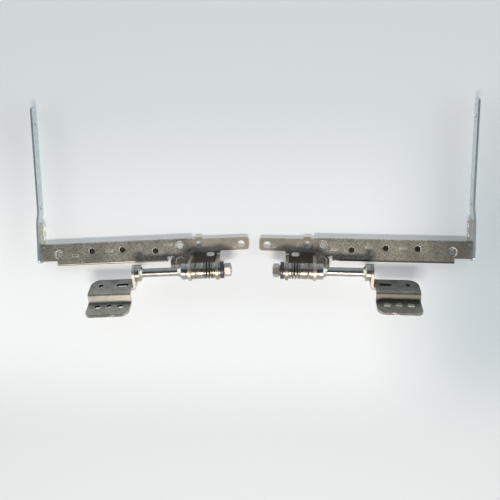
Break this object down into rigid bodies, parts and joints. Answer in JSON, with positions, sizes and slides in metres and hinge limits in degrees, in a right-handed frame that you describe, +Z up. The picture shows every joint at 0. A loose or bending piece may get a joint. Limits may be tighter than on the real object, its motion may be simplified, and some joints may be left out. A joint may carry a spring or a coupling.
{
  "type": "laptop hinge pair",
  "caption": "Mirrored laptop lid hinges: channel bracket with a side rail, friction disc pack on a turned shaft, and a stepped foot that swings from closed to flat open.",
  "frame": {"origin": "middle of the pair's box, on the table", "axes": "+X from the left hinge to the right one, +Y towards the far ends of the side rails, +Z up"},
  "size_m": [0.224, 0.107, 0.0233],
  "materials": {
    "bracket_nickel": "matte nickel plate, mottled and stained",
    "tongue_nickel": "satin nickel plate",
    "foot_nickel": "satin nickel plate, worn bright along the front edge",
    "rail_zinc": "bluish bright zinc plate",
    "turned_nickel": "turned and nickel plated",
    "washer_nickel": "punched and nickel plated",
    "cam_steel": "sintered and oiled",
    "spring_steel": "tempered and oiled",
    "rivet_steel": "bright zinc plate",
    "black_oxide": "black oxide"
  },
  "bodies": {
    "lid_side": {"left_lid_bracket": "bracket_nickel", "left_side_rail": "rail_zinc", "left_rail_rivets": "rivet_steel", "left_tongue_plate": "tongue_nickel", "left_tongue_rivets": "rivet_steel", "left_fixed_cam": "cam_steel", "right_lid_bracket": "bracket_nickel", "right_side_rail": "rail_zinc", "right_rail_rivets": "rivet_steel", "right_tongue_plate": "tongue_nickel", "right_tongue_rivets": "rivet_steel", "right_fixed_cam": "cam_steel"},
    "left_foot": {"left_foot_bracket": "foot_nickel", "left_hinge_shaft": "turned_nickel", "left_collar_washer": "washer_nickel", "left_moving_cam": "cam_steel", "left_spacer_ring": "washer_nickel", "left_disc_spring_1": "spring_steel", "left_disc_spring_2": "spring_steel", "left_disc_spring_3": "spring_steel", "left_disc_spring_4": "spring_steel", "left_disc_spring_5": "spring_steel", "left_disc_spring_6": "spring_steel", "left_pressure_washer": "washer_nickel", "left_friction_washer": "washer_nickel", "left_end_washer": "washer_nickel", "left_lock_washer": "black_oxide", "left_shaft_nut": "turned_nickel"},
    "right_foot": {"right_foot_bracket": "foot_nickel", "right_hinge_shaft": "turned_nickel", "right_collar_washer": "washer_nickel", "right_moving_cam": "cam_steel", "right_spacer_ring": "washer_nickel", "right_disc_spring_1": "spring_steel", "right_disc_spring_2": "spring_steel", "right_disc_spring_3": "spring_steel", "right_disc_spring_4": "spring_steel", "right_disc_spring_5": "spring_steel", "right_disc_spring_6": "spring_steel", "right_pressure_washer": "washer_nickel", "right_friction_washer": "washer_nickel", "right_end_washer": "washer_nickel", "right_lock_washer": "black_oxide", "right_shaft_nut": "turned_nickel"}
  },
  "joints": [
    {"name": "left_hinge", "type": "hinge", "parent": "lid_side", "child": "left_foot", "pos_m": [-0.04656, -0.03195, 0.011], "axis": [0.9991, 0.0429, 0], "range_deg": [-124, 56]},
    {"name": "right_hinge", "type": "hinge", "parent": "lid_side", "child": "right_foot", "pos_m": [0.04825, -0.03158, 0.011], "axis": [0.9997, -0.0229, 0], "range_deg": [-118, 62]}
  ]
}
